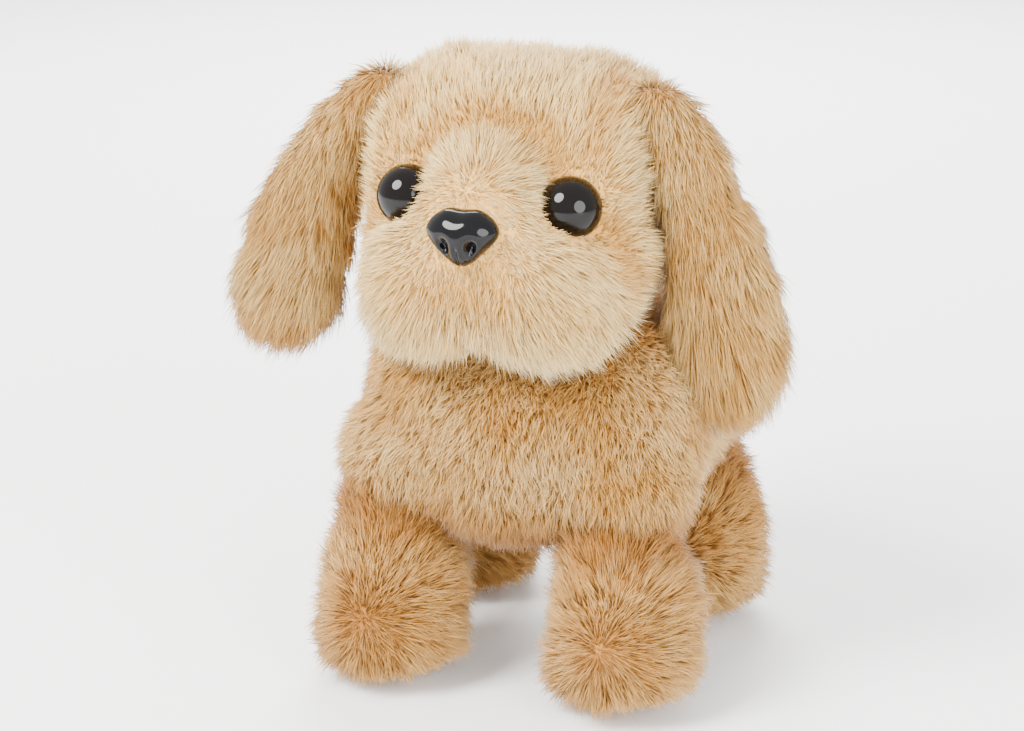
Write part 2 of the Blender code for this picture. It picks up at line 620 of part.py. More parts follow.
def make_head_plush():
    """The stuffed head with its snout and cheeks, hollow for the skull and open at the neck."""
    nod = (0.0, NOD_Y, NOD_Z)
    head = add_piece("head_plush", ellipsoid(HEAD_CENTRE, HEAD_RADII, 28, 16), "plush", nod)
    combine(head, ellipsoid(CHEEK_CENTRE, CHEEK_RADII, 24, 12), "UNION")
    combine(head, ellipsoid(SNOUT_CENTRE, SNOUT_RADII, 20, 12), "UNION")
    cavity_centre = (HEAD_CENTRE + SKULL_CENTRE) / 2
    combine(head, ellipsoid(cavity_centre, HEAD_CAVITY_RADII, 20, 12))
    combine(head, rod((0.0, NOD_Y, 0.080), (0.0, NOD_Y, 0.100), 0.0150, 24))
    for side in SIDES.values():
        centre, axis = eye_place(side)
        combine(head, rod(centre + axis * 0.012, centre - axis * 0.016, 0.0018, 12))
        combine(head, ellipsoid(centre, (EYE_RADIUS + 2 * GAP,) * 3, 14, 8))
    combine(head, rod(NOSE_CENTRE, NOSE_CENTRE + Vector((0.0, 0.022, 0.0)), 0.0023, 12))
    combine(head, ellipsoid(NOSE_CENTRE, grown(NOSE_RADII, 2 * GAP), 16, 10))
    return head


def eye_place(side):
    centre = Vector((side * EYE_CENTRE.x, EYE_CENTRE.y, EYE_CENTRE.z))
    axis = Vector((side * EYE_AXIS.x, EYE_AXIS.y, EYE_AXIS.z))
    return centre, axis


def make_eye(word, side):
    """A domed toy eye on a stem, held by a washer inside the head."""
    centre, axis = eye_place(side)
    eye = add_piece("eye_" + word, ellipsoid(centre, (EYE_RADIUS,) * 3, 14, 8),
                    "black_plastic", (0.0, NOD_Y, NOD_Z))
    stem_end = centre - axis * 0.0122
    combine(eye, rod(centre, stem_end, 0.0014, 12), "UNION")
    washer_mid = centre - axis * 0.0114
    washer = add_piece("eye_washer_" + word,
                       rod(washer_mid + axis * 0.0004, washer_mid - axis * 0.0004, 0.0030, 16),
                       "gear_plastic", (0.0, NOD_Y, NOD_Z))
    combine(washer, rod(centre - axis * 0.009, centre - axis * 0.015, 0.0014 + HOLE_PLAY, 12))


def make_nose():
    nose = add_piece("nose", ellipsoid(NOSE_CENTRE, NOSE_RADII, 16, 10), "black_plastic",
                     (0.0, NOD_Y, NOD_Z))
    combine(nose, rod(NOSE_CENTRE, NOSE_CENTRE + Vector((0.0, 0.0175, 0.0)), 0.0019, 12),
            "UNION")
    return nose


def make_ear(word, side):
    """A flat floppy ear that hangs from the top of the head and spreads outwards."""
    rings = []
    for height, out, half_width, half_thickness in reversed(EAR_RINGS):
        rings.append((Vector((side * out, EAR_HINGE.y, height)), half_width, half_thickness, 0.0))
    origin = (side * EAR_HINGE.x, EAR_HINGE.y, EAR_HINGE.z)
    return add_piece("ear_" + word, lofted(rings, 16), "plush_ear", origin)


# ---------------------------------------------------------------- torso, belly and tail
def make_torso():
    """The stuffed body: a thick skin around the chassis with its openings."""
    middle = Vector((0.0, TORSO_MID_Y, TORSO_BOTTOM + TORSO_HALF.z))
    torso = add_piece("torso_plush", box(middle - TORSO_HALF, middle + TORSO_HALF,
                                         TORSO_ROUNDING, 4), "plush")
    floor = TORSO_BOTTOM + TORSO_WALL_BOTTOM
    cavity = Vector((0.0, TORSO_MID_Y, floor + CAVITY_HALF.z))
    combine(torso, box(cavity - CAVITY_HALF, cavity + CAVITY_HALF, CAVITY_ROUNDING, 3))
    combine(torso, ellipsoid(HEAD_CENTRE, grown(HEAD_RADII, HEAD_CLEARANCE), 24, 14))
    combine(torso, ellipsoid(CHEEK_CENTRE, grown(CHEEK_RADII, HEAD_CLEARANCE), 24, 12))
    combine(torso, rod((0.0, NOD_Y, 0.0770), (0.0, NOD_Y, 0.0900), 0.0130, 24))
    edge = FLAP_HALF_X + OPENING_GAP
    combine(torso, box((-edge, FLAP_FRONT - OPENING_GAP, 0.038),
                       (edge, FLAP_REAR + OPENING_GAP, HOUSING_BOTTOM)))
    combine(torso, box((-DOOR_HALF_X - GAP, BOX_FRONT - DOOR_SLIDE - 0.0012, 0.0444),
                       (DOOR_HALF_X + GAP, BOX_FRONT + 0.002, 0.0480)))
    for side in SIDES.values():
        for y in ENDS.values():
            low_x, high_x = sorted((side * 0.0240, side * 0.0303))
            combine(torso, box((low_x, y - BAR_SWING, 0.038), (high_x, y + BAR_SWING, HOUSING_BOTTOM)))
    combine(torso, box((-0.0100, 0.0200, 0.0690), (0.0100, 0.0420, 0.0960)))
    return torso


def make_belly_flap():
    hinge = (0.0, FLAP_REAR, TORSO_BOTTOM + 0.0002)
    flap = box((-FLAP_HALF_X, FLAP_FRONT, hinge[2]),
               (FLAP_HALF_X, FLAP_REAR, hinge[2] + FLAP_THICKNESS), 0.0008, 1)
    return add_piece("belly_flap", flap, "plush", hinge)


def tail_lever_outline():
    return [Vector((-0.0015, y, z)) for y, z in (
        (0.0250, 0.0730), (0.0310, 0.0735), (0.0420, 0.0850), (0.0560, 0.0985),
        (0.0545, 0.1005), (0.0400, 0.0880), (0.0290, 0.0770), (0.0250, 0.0770))]


def make_tail():
    """The wagging tail: a plastic lever on a pin, inside a stuffed tip."""
    lever = add_piece("tail_lever", rod((0.0, TAIL_PIVOT.y, 0.0722), (0.0, TAIL_PIVOT.y, 0.0778),
                                        0.0032), "frame_plastic", TAIL_PIVOT, False)
    combine(lever, extruded(tail_lever_outline(), (0.0030, 0.0, 0.0)), "UNION")
    combine(lever, rod((0.0, TAIL_PIVOT.y, 0.070), (0.0, TAIL_PIVOT.y, 0.080),
                       0.0012 + HOLE_PLAY, 12))
    add_piece("tail_pin", rod((0.0, TAIL_PIVOT.y, 0.0695), (0.0, TAIL_PIVOT.y, 0.0805),
                              0.0012, 12), "steel")
    rings = []
    for index, (y, z, radius) in enumerate(TAIL_RINGS):
        before = TAIL_RINGS[max(index - 1, 0)]
        after = TAIL_RINGS[min(index + 1, len(TAIL_RINGS) - 1)]
        slope = math.atan2(after[1] - before[1], after[0] - before[0])
        rings.append((Vector((0.0, y, z)), radius, radius, slope - math.pi / 2))
    plush = add_piece("tail_plush", lofted(rings, 14), "plush", TAIL_PIVOT)
    along = Vector((0.0, 0.0142, 0.0130)).normalized()
    start = Vector((0.0, 0.0410, 0.0865))
    combine(plush, rod(start - along * 0.007, start + along * 0.0205, 0.0028, 12))


def build():
    clear_scene()
    make_torso()
    make_belly_flap()
    for word, side in SIDES.items():
        make_housing("housing_" + word, side)
    for index, (y, z) in enumerate(HOUSING_SCREWS):
        make_housing_screw("housing_screw_%d" % (index + 1), y, z)
    make_battery_box()
    make_battery("battery_1", -0.0054, True)
    make_battery("battery_2", 0.0054, False)
    make_contact_spring("contact_spring", -0.0054, 0.0024, 0.0014)
    make_contact_plate("contact_plate", BOX_FRONT + 0.0015)
    make_battery_door()
    make_battery_door_screw()
    make_switch()
    make_motor()
    make_gear_train()
    make_circuit_board()
    make_speaker()
    for word, side in SIDES.items():
        for end, y in ENDS.items():
            make_leg(end, y, word, side)
        make_link(word, side)
    make_neck_post()
    make_skull()
    make_head_plush()
    make_nose()
    for word, side in SIDES.items():
        make_eye(word, side)
        make_ear(word, side)
    make_tail()


build()
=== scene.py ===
import json
import math
import bmesh
import bpy
import numpy as np
from mathutils import Matrix, Vector

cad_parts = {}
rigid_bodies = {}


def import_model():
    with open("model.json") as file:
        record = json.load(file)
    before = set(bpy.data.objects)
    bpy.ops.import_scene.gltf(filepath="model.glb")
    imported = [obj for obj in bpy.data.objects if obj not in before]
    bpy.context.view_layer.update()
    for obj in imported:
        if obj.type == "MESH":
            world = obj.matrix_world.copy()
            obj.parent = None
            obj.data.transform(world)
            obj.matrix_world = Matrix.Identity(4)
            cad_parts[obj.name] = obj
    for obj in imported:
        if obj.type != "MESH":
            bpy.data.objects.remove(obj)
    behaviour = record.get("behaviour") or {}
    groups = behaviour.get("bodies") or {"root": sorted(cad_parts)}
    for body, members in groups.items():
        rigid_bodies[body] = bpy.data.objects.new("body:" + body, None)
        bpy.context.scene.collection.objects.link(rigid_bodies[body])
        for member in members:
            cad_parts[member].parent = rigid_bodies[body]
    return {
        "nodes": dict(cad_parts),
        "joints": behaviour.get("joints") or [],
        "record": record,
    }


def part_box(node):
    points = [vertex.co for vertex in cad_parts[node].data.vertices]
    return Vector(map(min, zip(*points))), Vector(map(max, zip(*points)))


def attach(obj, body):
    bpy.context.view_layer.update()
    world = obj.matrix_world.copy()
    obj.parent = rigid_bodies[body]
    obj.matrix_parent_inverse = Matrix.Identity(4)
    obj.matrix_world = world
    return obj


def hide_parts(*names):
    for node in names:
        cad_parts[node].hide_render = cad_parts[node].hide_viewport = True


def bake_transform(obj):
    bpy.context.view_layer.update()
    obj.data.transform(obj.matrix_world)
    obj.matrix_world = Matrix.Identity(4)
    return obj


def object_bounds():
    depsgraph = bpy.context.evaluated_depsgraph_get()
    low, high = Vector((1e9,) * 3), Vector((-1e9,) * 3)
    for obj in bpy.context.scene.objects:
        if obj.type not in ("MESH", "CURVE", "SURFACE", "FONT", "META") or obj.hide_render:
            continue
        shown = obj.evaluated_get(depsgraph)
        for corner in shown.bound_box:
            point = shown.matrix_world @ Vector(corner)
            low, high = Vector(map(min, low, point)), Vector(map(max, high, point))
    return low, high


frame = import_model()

cadLow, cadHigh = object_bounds()
sides = {"left": 1.0, "right": -1.0}
print("frame loaded:", len(frame["nodes"]), "nodes")


# ---- small helpers

def jointPoint(name):
    for joint in frame["joints"]:
        if joint["name"] == name:
            return Vector(joint["pos_m"])
    raise ValueError(name)


def toObject(name, bm):
    mesh = bpy.data.meshes.new(name)
    bm.to_mesh(mesh)
    bm.free()
    mesh.shade_smooth()
    obj = bpy.data.objects.new(name, mesh)
    bpy.context.scene.collection.objects.link(obj)
    return obj


def applyModifiers(obj):
    # turns the evaluated shape into the object's own mesh
    graph = bpy.context.evaluated_depsgraph_get()
    graph.update()
    final = bpy.data.meshes.new_from_object(obj.evaluated_get(graph), preserve_all_data_layers=True,
                                            depsgraph=graph)
    obj.modifiers.clear()
    old = obj.data
    obj.data = final
    bpy.data.meshes.remove(old)
    return obj


def smoothstep(low, high, value):
    share = min(1.0, max(0.0, (value - low) / (high - low)))
    return share * share * (3.0 - 2.0 * share)


def vertexData(obj):
    mesh = obj.data
    count = len(mesh.vertices)
    places = np.empty(count * 3)
    mesh.vertices.foreach_get("co", places)
    normals = np.empty(count * 3)
    mesh.vertex_normals.foreach_get("vector", normals)
    return places.reshape(-1, 3), normals.reshape(-1, 3)


# ---- shader nodes written as expressions

class Wire:
    # wraps one output socket of a material's node tree
    def __init__(self, tree, socket=None):
        self.tree = tree
        self.socket = socket

    def node(self, kind, settings=None, values=None, output=0):
        new = self.tree.nodes.new(kind)
        for key, value in (settings or {}).items():
            setattr(new, key, value)
        for key, value in (values or {}).items():
            if isinstance(value, Wire):
                self.tree.links.new(value.socket, new.inputs[key])
            else:
                new.inputs[key].default_value = value
        return Wire(self.tree, new.outputs[output])

    def maths(self, operation, first, second=0.0, clamp=False):
        return self.node("ShaderNodeMath", {"operation": operation, "use_clamp": clamp},
                         {0: first, 1: second})

    def mixed(self, factor, first, second):
        return self.node("ShaderNodeMix", {"data_type": "RGBA"}, {0: factor, 6: first, 7: second}, 2)

    def clamped(self):
        return self.maths("ADD", self, 0.0, True)

    def __add__(self, other):
        return self.maths("ADD", self, other)

    def __sub__(self, other):
        return self.maths("SUBTRACT", self, other)

    def __mul__(self, other):
        return self.maths("MULTIPLY", self, other)

    def __pow__(self, other):
        return self.maths("POWER", self, other)


def newMaterial(name, **constants):
    # a Principled material with its plain values set on the shader's own sockets
    made = bpy.data.materials.new(name)
    made.use_nodes = True
    shader = made.node_tree.nodes["Principled BSDF"]
    for key, value in constants.items():
        shader.inputs[key.replace("_", " ")].default_value = value
    return made, shader, Wire(made.node_tree)


def feed(shader, wire, socket, tree):
    tree.links.new(wire.socket, shader.inputs[socket])


def objectPlace(wire):
    return wire.node("ShaderNodeTexCoord", output="Object")


def noiseField(wire, scale, detail=3.0):
    return wire.node("ShaderNodeTexNoise", {}, {"Vector": objectPlace(wire), "Scale": scale,
                                                "Detail": detail})


# ---- fur material

# root is painted shade deep in the pile and in the creases; tip and the darker shade tone are the
# fibres' own colours, mixed at random
furTones = {
    "cream": {"root": (0.66, 0.32, 0.06), "tip": (1.0, 0.83, 0.42), "shade": (0.93, 0.62, 0.22)},
    "golden": {"root": (0.38, 0.15, 0.020), "tip": (0.97, 0.71, 0.31), "shade": (0.62, 0.32, 0.07)},
    # the leg root is darker still, for deeper painted shade where the legs meet the chest
    "leg": {"root": (0.32, 0.12, 0.016), "tip": (0.92, 0.62, 0.24), "shade": (0.52, 0.25, 0.05)},
    "tan": {"root": (0.33, 0.13, 0.018), "tip": (0.95, 0.67, 0.26), "shade": (0.58, 0.29, 0.06)},
}


def furMaterial(name, tone):
    made, shader, wire = newMaterial(name, Roughness=0.70, Sheen_Weight=0.30, Sheen_Roughness=0.45,
                                     Specular_IOR_Level=0.15)
    colors = furTones[tone]
    along = wire.node("ShaderNodeAttribute", {"attribute_name": "along"}, output="Fac")
    tint = wire.node("ShaderNodeAttribute", {"attribute_name": "tint"}, output="Fac")
    patch = noiseField(wire, 55.0)
    fine = noiseField(wire, 190.0)
    tipSide = (patch * 1.6 - 0.45 + fine * 0.5 - 0.25 + tint * 0.45 - 0.22).clamped()
    tip = wire.mixed(tipSide, (*colors["shade"], 1.0), (*colors["tip"], 1.0))
    # strands darken toward the root: painted shade deep in the pile
    rise = (along ** 0.80).clamped()
    color = wire.mixed(rise, (*colors["root"], 1.0), tip)
    # painted shade: the crease attribute pulls the colour toward the root tone in creases, tucks, under
    # the chin and under the nose
    crease = wire.node("ShaderNodeAttribute", {"attribute_name": "crease"}, output="Fac")
    color = wire.mixed((crease * 0.82).clamped(), color, (*colors["root"], 1.0))
    feed(shader, color, "Base Color", wire.tree)
    # strands are lit partly as the surface that they make together
    nap = wire.node("ShaderNodeAttribute", {"attribute_name": "napNormal"}, output="Vector")
    nap = wire.node("ShaderNodeVectorTransform",
                    {"vector_type": "NORMAL", "convert_from": "OBJECT", "convert_to": "WORLD"},
                    {"Vector": nap})
    own = wire.node("ShaderNodeNewGeometry", output="Normal")
    soft = wire.node("ShaderNodeMix", {"data_type": "VECTOR"}, {0: 0.60, 4: own, 5: nap}, 1)
    feed(shader, wire.node("ShaderNodeVectorMath", {"operation": "NORMALIZE"}, {0: soft}),
         "Normal", wire.tree)
    return made


# ---- padded skins

padding = {"voxel": 0.0042, "pressure": 4.0, "frames": 16, "limit": 0.0016, "seamDepth": 0.0016,
           "relaxSteps": 3, "relaxFactor": 0.5, "quality": 6, "mass": 0.08, "tension": 12.0,
           "compression": 6.0, "bending": 0.05}


def noSeam(point):
    return 0.0


def softShape(name, balls, seamAt=noSeam, opening=None):
    # overlapping rounded lumps fused into one skin, then filled out like a stuffed cover
    bm = bmesh.new()
    for centre, radii in balls:
        place = Matrix.Translation(centre) @ Matrix.Diagonal((*radii, 1.0))
        bmesh.ops.create_uvsphere(bm, u_segments=28, v_segments=18, radius=1.0, matrix=place)
    skin = toObject(name, bm)
    fuse = skin.modifiers.new("Fuse", "REMESH")
    fuse.mode = "VOXEL"
    fuse.voxel_size = padding["voxel"]
    relax = skin.modifiers.new("Relax", "SMOOTH")
    relax.iterations = padding["relaxSteps"]
    relax.factor = padding["relaxFactor"]
    applyModifiers(skin)
    places, normals = vertexData(skin)
    seams = [seamAt(Vector(place)) for place in places]
    for vertex, normal, seam in zip(skin.data.vertices, normals, seams):
        vertex.co -= Vector(normal) * seam * padding["seamDepth"]
    inflate(skin, seams)
    finer = skin.modifiers.new("Finer", "SUBSURF")
    finer.levels = 1
    finer.render_levels = 1
    applyModifiers(skin)
    if opening:
        cutOpening(skin, opening)
    return skin


def cutOpening(skin, opening):
    # takes a box-shaped recess out of the cover
    low, high = opening
    bm = bmesh.new()
    place = Matrix.Translation((low + high) / 2) @ Matrix.Diagonal((*(high - low), 1.0))
    bmesh.ops.create_cube(bm, size=1.0, matrix=place)
    cutter = toObject("openingCutter", bm)
    cut = skin.modifiers.new("Opening", "BOOLEAN")
    cut.operation = "DIFFERENCE"
    cut.solver = "EXACT"
    cut.object = cutter
    applyModifiers(skin)
    bpy.data.objects.remove(cutter)


def inflate(skin, seams):
    before = vertexData(skin)[0]
    pinned = skin.vertex_groups.new(name="seam")
    for index, seam in enumerate(seams):
        pinned.add([index], seam, "REPLACE")
    cloth = skin.modifiers.new("Stuffing", "CLOTH")
    cloth.settings.quality = padding["quality"]
    cloth.settings.mass = padding["mass"]
    cloth.settings.tension_stiffness = padding["tension"]
    cloth.settings.compression_stiffness = padding["compression"]
    cloth.settings.bending_stiffness = padding["bending"]
    cloth.settings.use_pressure = True
    cloth.settings.uniform_pressure_force = padding["pressure"]
    cloth.settings.vertex_group_mass = pinned.name
    cloth.settings.effector_weights.gravity = 0.0
    cloth.collision_settings.use_collision = False
    scene = bpy.context.scene
    for moment in range(1, padding["frames"] + 1):
        scene.frame_set(moment)
    applyModifiers(skin)
    scene.frame_set(1)
    for vertex, place in zip(skin.data.vertices, before):
        start = Vector(place)
        move = vertex.co - start
        if move.length > padding["limit"]:
            vertex.co = start + move.normalized() * padding["limit"]


# ---- fur strands by geometry nodes

# long and short strands on a square metre, and a strand's half width
furBase = {"density": 1.42e6, "under": 2.7e6, "width": 0.00012}


def makeStrand(name, bends):
    # a three-sided hair lock of unit length, with or without a bend ring
    bm = bmesh.new()
    bmesh.ops.create_cone(bm, cap_ends=True, segments=3, radius1=1.0, radius2=0.0, depth=1.0,
                          matrix=Matrix.Translation((0.0, 0.0, 0.5)))
    bmesh.ops.remove_doubles(bm, verts=bm.verts, dist=0.001)
    if bends:
        cut = bmesh.ops.bisect_plane(bm, geom=bm.verts[:] + bm.edges[:] + bm.faces[:],
                                     plane_co=(0.0, 0.0, 0.52), plane_no=(0.0, 0.0, 1.0))
        ring = [item for item in cut["geom_cut"] if isinstance(item, bmesh.types.BMVert)]
        bmesh.ops.scale(bm, vec=(1.6, 1.6, 1.0), verts=ring)
    bmesh.ops.recalc_face_normals(bm, faces=bm.faces)
    strand = toObject(name, bm)
    along = strand.data.attributes.new("along", "FLOAT", "POINT")
    along.data.foreach_set("value", [vertex.co.z for vertex in strand.data.vertices])
    return strand


class FurNodes:
    # a thin layer over a geometry node tree
    def __init__(self, name):
        self.tree = bpy.data.node_groups.new(name, "GeometryNodeTree")
        self.tree.interface.new_socket("Geometry", in_out="INPUT", socket_type="NodeSocketGeometry")
        self.tree.interface.new_socket("Geometry", in_out="OUTPUT", socket_type="NodeSocketGeometry")
        self.start = self.tree.nodes.new("NodeGroupInput")
        self.end = self.tree.nodes.new("NodeGroupOutput")

    def node(self, kind, settings=None, values=None, output=None):
        new = self.tree.nodes.new(kind)
        for key, value in (settings or {}).items():
            setattr(new, key, value)
        for key, value in (values or {}).items():
            if isinstance(key, int):
                socket = new.inputs[key]
            else:
                socket = next(item for item in new.inputs if item.name == key and item.enabled)
            if isinstance(value, bpy.types.NodeSocket):
                self.tree.links.new(value, socket)
            else:
                socket.default_value = value
        if output is None:
            return next(item for item in new.outputs if item.enabled)
        return next(item for item in new.outputs if item.enabled and item.name == output)

    def attribute(self, name, kind="FLOAT"):
        return self.node("GeometryNodeInputNamedAttribute", {"data_type": kind}, {"Name": name})

    def store(self, geometry, name, value, kind="FLOAT", domain="INSTANCE"):
        return self.node("GeometryNodeStoreNamedAttribute", {"data_type": kind, "domain": domain},
                         {"Geometry": geometry, "Name": name, "Value": value})

    def maths(self, operation, first, second=0.0):
        return self.node("ShaderNodeMath", {"operation": operation}, {0: first, 1: second})

    def vector(self, operation, first, second=None, scale=None):
        values = {0: first}
        if second is not None:
            values[1] = second
        if scale is not None:
            values["Scale"] = scale
        return self.node("ShaderNodeVectorMath", {"operation": operation}, values)

    def random(self, low, high, seed, kind="FLOAT"):
        return self.node("FunctionNodeRandomValue", {"data_type": kind},
                         {"Min": low, "Max": high, "Seed": seed})


def plantStrands(kit, skin, strand, settings, density, seed, tall):
    points = kit.tree.nodes.new("GeometryNodeDistributePointsOnFaces")
    kit.tree.links.new(skin, points.inputs["Mesh"])
    kit.tree.links.new(kit.maths("MULTIPLY", kit.attribute("furCover"), density),
                       points.inputs["Density"])
    points.inputs["Seed"].default_value = seed
    normal = points.outputs["Normal"]
    root = kit.node("GeometryNodeInputPosition")
    lay = kit.attribute("furLay", "FLOAT_VECTOR")
    # the strand starts out between standing up and lying along the nap
    swirl = kit.node("ShaderNodeTexNoise", {}, {"Vector": root, "Scale": settings["swirlScale"],
                                                "Detail": 2.0}, "Color")
    swirl = kit.vector("SUBTRACT", swirl, (0.5, 0.5, 0.5))
    wander = kit.vector("SCALE", swirl, scale=settings["swirl"])
    jitter = kit.random((-1.0, -1.0, -1.0), (1.0, 1.0, 1.0), 11, "FLOAT_VECTOR")
    jitter = kit.vector("SCALE", jitter, scale=settings["jitter"])
    standing = kit.vector("SCALE", normal, scale=settings["lift"])
    leaning = kit.vector("ADD", lay, wander)
    direction = kit.vector("ADD", kit.vector("ADD", standing, leaning), jitter)
    direction = kit.vector("NORMALIZE", direction)
    aim = kit.node("FunctionNodeAlignRotationToVector", {"axis": "Z"}, {"Vector": direction})
    spin = kit.node("FunctionNodeAxisAngleToRotation", {},
                    {"Axis": (0.0, 0.0, 1.0), "Angle": kit.random(0.0, 6.283, 5)})
    aim = kit.node("FunctionNodeRotateRotation", {"rotation_space": "LOCAL"},
                   {"Rotation": aim, "Rotate By": spin})
    length = kit.maths("MULTIPLY", kit.attribute("furLength"), kit.random(0.68 * tall, 1.12 * tall, 7))
    width = kit.random(settings["width"] * 0.75, settings["width"] * 1.2, 9)
    size = kit.node("ShaderNodeCombineXYZ", {}, {"X": width, "Y": width, "Z": length})
    # locks: tips lean to the middle of the cell that their root is in
    locks = []
    for scale, share in settings["locks"]:
        cell = kit.tree.nodes.new("ShaderNodeTexVoronoi")
        cell.inputs["Scale"].default_value = scale
        kit.tree.links.new(root, cell.inputs["Vector"])
        pull = kit.vector("SUBTRACT", cell.outputs["Position"], root)
        locks.append(kit.vector("SCALE", pull, scale=share))
        lastCell = cell
    pull = locks[0]
    for extra in locks[1:]:
        pull = kit.vector("ADD", pull, extra)
    tone = kit.node("ShaderNodeSeparateXYZ", {}, {0: lastCell.outputs["Color"]}, "X")
    tone = kit.maths("ADD", kit.maths("MULTIPLY", tone, 0.5),
                     kit.maths("MULTIPLY", kit.random(0.0, 1.0, 3), 0.5))
    nap = kit.vector("SUBTRACT", kit.vector("SCALE", leaning, scale=settings["comb"]),
                     kit.vector("SCALE", normal, scale=settings["droop"]))
    bend = kit.vector("SCALE", nap, scale=length)
    marked = points.outputs["Points"]
    marked = kit.store(marked, "tint", tone, domain="POINT")
    marked = kit.store(marked, "pull", pull, "FLOAT_VECTOR", "POINT")
    marked = kit.store(marked, "bend", bend, "FLOAT_VECTOR", "POINT")
    marked = kit.store(marked, "napNormal", normal, "FLOAT_VECTOR", "POINT")
    source = kit.node("GeometryNodeObjectInfo", {}, {"Object": strand}, "Geometry")
    planted = kit.node("GeometryNodeInstanceOnPoints", {},
                       {"Points": marked, "Instance": source, "Rotation": aim, "Scale": size})
    hairs = kit.node("GeometryNodeRealizeInstances", {}, {"Geometry": planted})
    along = kit.attribute("along")
    bent = kit.vector("SCALE", kit.attribute("bend", "FLOAT_VECTOR"),
                      scale=kit.maths("MULTIPLY", along, along))
    gathered = kit.vector("SCALE", kit.attribute("pull", "FLOAT_VECTOR"),
                          scale=kit.maths("POWER", along, 1.4))
    return kit.node("GeometryNodeSetPosition", {},
                    {"Geometry": hairs, "Offset": kit.vector("ADD", bent, gathered)})


def furGroup(name, strands, settings):
    kit = FurNodes(name)
    skin = kit.start.outputs[0]
    joined = kit.tree.nodes.new("GeometryNodeJoinGeometry")
    kit.tree.links.new(skin, joined.inputs[0])
    long, short = strands
    kit.tree.links.new(plantStrands(kit, skin, long, settings, settings["density"],
                                    settings["seed"], 1.0), joined.inputs[0])
    kit.tree.links.new(plantStrands(kit, skin, short, settings, settings["under"],
                                    settings["seed"] + 40, 0.80), joined.inputs[0])
    kit.tree.links.new(joined.outputs[0], kit.end.inputs[0])
    return kit.tree


def furry(point):
    return 1.0


def growFur(skin, strands, layAt, lengthAt, creaseShadeAt, settings, material, coverAt=furry):
    # stores the nap on the skin, then grows and keeps the strands
    places, normals = vertexData(skin)
    lays = []
    lengths = []
    creaseShades = []
    covers = []
    for place, normal in zip(places, normals):
        point = Vector(place)
        up = Vector(normal)
        lay = Vector(layAt(point, up))
        lay -= up * lay.dot(up)
        lays.extend(lay)
        lengths.append(lengthAt(point, up))
        # painted shade, stored as the crease attribute
        creaseShades.append(creaseShadeAt(point))
        covers.append(coverAt(point))
    mesh = skin.data
    mesh.attributes.new("furLay", "FLOAT_VECTOR", "POINT").data.foreach_set("vector", lays)
    mesh.attributes.new("furLength", "FLOAT", "POINT").data.foreach_set("value", lengths)
    mesh.attributes.new("crease", "FLOAT", "POINT").data.foreach_set("value", creaseShades)
    mesh.attributes.new("furCover", "FLOAT", "POINT").data.foreach_set("value", covers)
    # the bare skin between strands takes a near-root colour: painted shade under the pile
    mesh.attributes.new("along", "FLOAT", "POINT").data.foreach_set("value", [0.15] * len(lengths))
    mesh.attributes.new("napNormal", "FLOAT_VECTOR", "POINT").data.foreach_set(
        "vector", normals.reshape(-1))
    fur = skin.modifiers.new("Fur", "NODES")
    fur.node_group = furGroup(skin.name + "Nap", strands, settings)
    applyModifiers(skin)
    for name in ("furLay", "furLength", "furCover", "pull", "bend"):
        spare = skin.data.attributes.get(name)
        if spare:
            skin.data.attributes.remove(spare)
    skin.data.materials.clear()
    skin.data.materials.append(material)
    skin.data.shade_smooth()
    print(skin.name, "polygons", len(skin.data.polygons))
    return skin


# ---- camera, floor and lights

camera = {"azimuth": 19.0, "elevation": 17.0, "distance": 0.62, "target": (-0.0036, -0.0316, 0.0755),
          "spread": 0.2480}


def makeCamera():
    azimuth = math.radians(camera["azimuth"])
    elevation = math.radians(camera["elevation"])
    back = Vector((math.sin(azimuth) * math.cos(elevation), -math.cos(azimuth) * math.cos(elevation),
                   math.sin(elevation)))
    data = bpy.data.cameras.new("studioCamera")
    data.sensor_width = 36.0
    data.lens = data.sensor_width * camera["distance"] / camera["spread"]
    data.clip_start = 0.01
    data.clip_end = 20.0
    obj = bpy.data.objects.new("studioCamera", data)
    bpy.context.scene.collection.objects.link(obj)
    obj.location = Vector(camera["target"]) + back * camera["distance"]
    obj.rotation_euler = (-back).to_track_quat("-Z", "Y").to_euler()
    bpy.context.scene.camera = obj


studio = {"floorHalf": 3.0, "floorTone": (0.97, 0.97, 0.97), "floorGap": 0.0003,
          "worldTone": (1.0, 1.0, 1.0), "worldStrength": 1.4, "aim": Vector((0.0, -0.02, 0.08))}

lights = (    # name, place, size, power, colour
    ("keyLight", (-0.55, -0.75, 0.95), 0.70, 47.0, (1.0, 0.985, 0.96)),
    ("fillLight", (0.95, -0.75, 0.45), 0.9, 24.0, (1.0, 1.0, 1.0)),
    ("rimLight", (-0.25, 0.85, 0.75), 0.8, 30.0, (1.0, 1.0, 1.0)),
)


def makeStudio():
    bm = bmesh.new()
    bmesh.ops.create_grid(bm, x_segments=1, y_segments=1, size=studio["floorHalf"])
    bmesh.ops.translate(bm, verts=bm.verts, vec=(0.0, 0.0, cadLow.z - studio["floorGap"]))
    floor = toObject("studioFloor", bm)
    made, shader, wire = newMaterial("paleFloor", Roughness=0.85)
    shader.inputs["Base Color"].default_value = (*studio["floorTone"], 1.0)
    floor.data.materials.append(made)
    world = bpy.data.worlds.new("studioWorld")
    world.use_nodes = True
    background = world.node_tree.nodes["Background"]
    background.inputs["Color"].default_value = (*studio["worldTone"], 1.0)
    background.inputs["Strength"].default_value = studio["worldStrength"]
    bpy.context.scene.world = world
    for name, place, size, power, color in lights:
        data = bpy.data.lights.new(name, "AREA")
        data.shape = "DISK"
        data.size = size
        data.energy = power
        data.color = color
        lamp = bpy.data.objects.new(name, data)
        lamp.location = place
        lamp.rotation_euler = (studio["aim"] - Vector(place)).to_track_quat("-Z", "Y").to_euler()
        bpy.context.scene.collection.objects.link(lamp)
    print("camera and studio ready")


# ---- head

